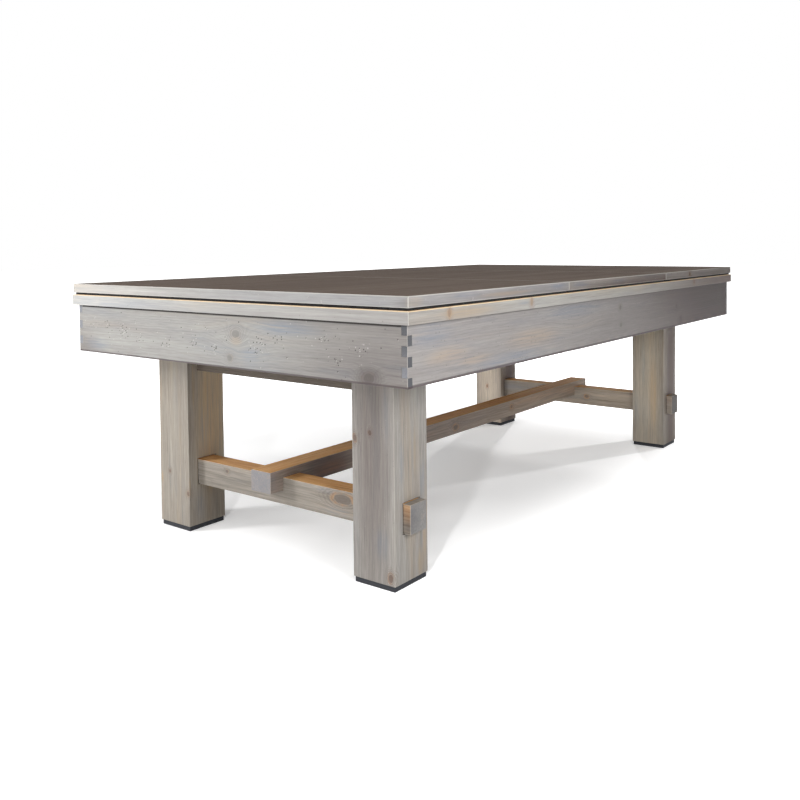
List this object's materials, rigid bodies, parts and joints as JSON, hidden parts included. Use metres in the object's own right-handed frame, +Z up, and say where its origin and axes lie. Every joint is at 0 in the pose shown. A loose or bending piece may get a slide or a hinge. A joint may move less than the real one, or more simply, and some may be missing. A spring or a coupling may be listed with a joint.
{
  "type": "pool table",
  "caption": "Rustic wooden pool table on square trestle legs with through-tenoned stretchers, finger-jointed apron, slate bed and lift-off panelled dining cover.",
  "frame": {"origin": "on the floor under the middle of the table", "axes": "+X along the table towards the foot end, +Y across it to the left side, +Z up"},
  "size_m": [2.565, 1.448, 0.8435],
  "materials": {
    "rail_wood": "grey-stained knotty pine, matt lacquer",
    "apron_wood": "grey-stained knotty pine, distressed with small dark marks, matt lacquer",
    "leg_wood": "grey-stained knotty pine with warm streaks, matt lacquer",
    "stretcher_wood": "grey-stained knotty pine, honey brown where the stain is thin",
    "cover_wood": "dark brown-grey stained pine, satin lacquer",
    "frame_wood": "planed bare pine",
    "slate": "honed slate",
    "bed_cloth": "green woven wool billiard cloth",
    "cushion_cloth": "green woven wool billiard cloth over rubber",
    "pocket_leather": "dark brown leather, stitched rim",
    "felt": "pressed charcoal felt",
    "foot_rubber": "dark moulded rubber",
    "bolt_steel": "zinc-plated steel"
  },
  "bodies": {
    "table": {"apron_foot": "apron_wood", "apron_head": "apron_wood", "apron_left": "apron_wood", "apron_right": "apron_wood", "beam_bolt_foot": "bolt_steel", "beam_bolt_head": "bolt_steel", "bed_beam_left": "frame_wood", "bed_beam_right": "frame_wood", "bed_cloth": "bed_cloth", "bed_joist_1": "frame_wood", "bed_joist_2": "frame_wood", "bed_joist_3": "frame_wood", "bed_joist_4": "frame_wood", "centre_beam": "stretcher_wood", "cross_rail_foot": "leg_wood", "cross_rail_head": "leg_wood", "cushion_foot": "cushion_cloth", "cushion_head": "cushion_cloth", "cushion_left_a": "cushion_cloth", "cushion_left_b": "cushion_cloth", "cushion_right_a": "cushion_cloth", "cushion_right_b": "cushion_cloth", "end_stretcher_foot": "stretcher_wood", "end_stretcher_head": "stretcher_wood", "foot_pad_foot_left": "foot_rubber", "foot_pad_foot_right": "foot_rubber", "foot_pad_head_left": "foot_rubber", "foot_pad_head_right": "foot_rubber", "leg_bolt_foot_left": "bolt_steel", "leg_bolt_foot_right": "bolt_steel", "leg_bolt_head_left": "bolt_steel", "leg_bolt_head_right": "bolt_steel", "leg_foot_left": "leg_wood", "leg_foot_right": "leg_wood", "leg_head_left": "leg_wood", "leg_head_right": "leg_wood", "pocket_foot_left": "pocket_leather", "pocket_foot_right": "pocket_leather", "pocket_head_left": "pocket_leather", "pocket_head_right": "pocket_leather", "pocket_side_left": "pocket_leather", "pocket_side_right": "pocket_leather", "rail_foot": "rail_wood", "rail_head": "rail_wood", "rail_left": "rail_wood", "rail_right": "rail_wood", "slate_1": "slate", "slate_2": "slate", "slate_3": "slate"},
    "cover_1": {"cover_panel_1": "cover_wood", "cover_felt_1_left": "felt", "cover_felt_1_right": "felt", "cover_felt_head": "felt"},
    "cover_2": {"cover_panel_2": "cover_wood", "cover_felt_2_left": "felt", "cover_felt_2_right": "felt"},
    "cover_3": {"cover_panel_3": "cover_wood", "cover_felt_3_left": "felt", "cover_felt_3_right": "felt", "cover_felt_foot": "felt"}
  },
  "joints": [
    {"name": "cover_lift_1", "type": "slide", "parent": "table", "child": "cover_1", "axis": [0, 0, 1], "range_m": [0, 0.25]},
    {"name": "cover_lift_2", "type": "slide", "parent": "table", "child": "cover_2", "axis": [0, 0, 1], "range_m": [0, 0.25]},
    {"name": "cover_lift_3", "type": "slide", "parent": "table", "child": "cover_3", "axis": [0, 0, 1], "range_m": [0, 0.25]}
  ]
}
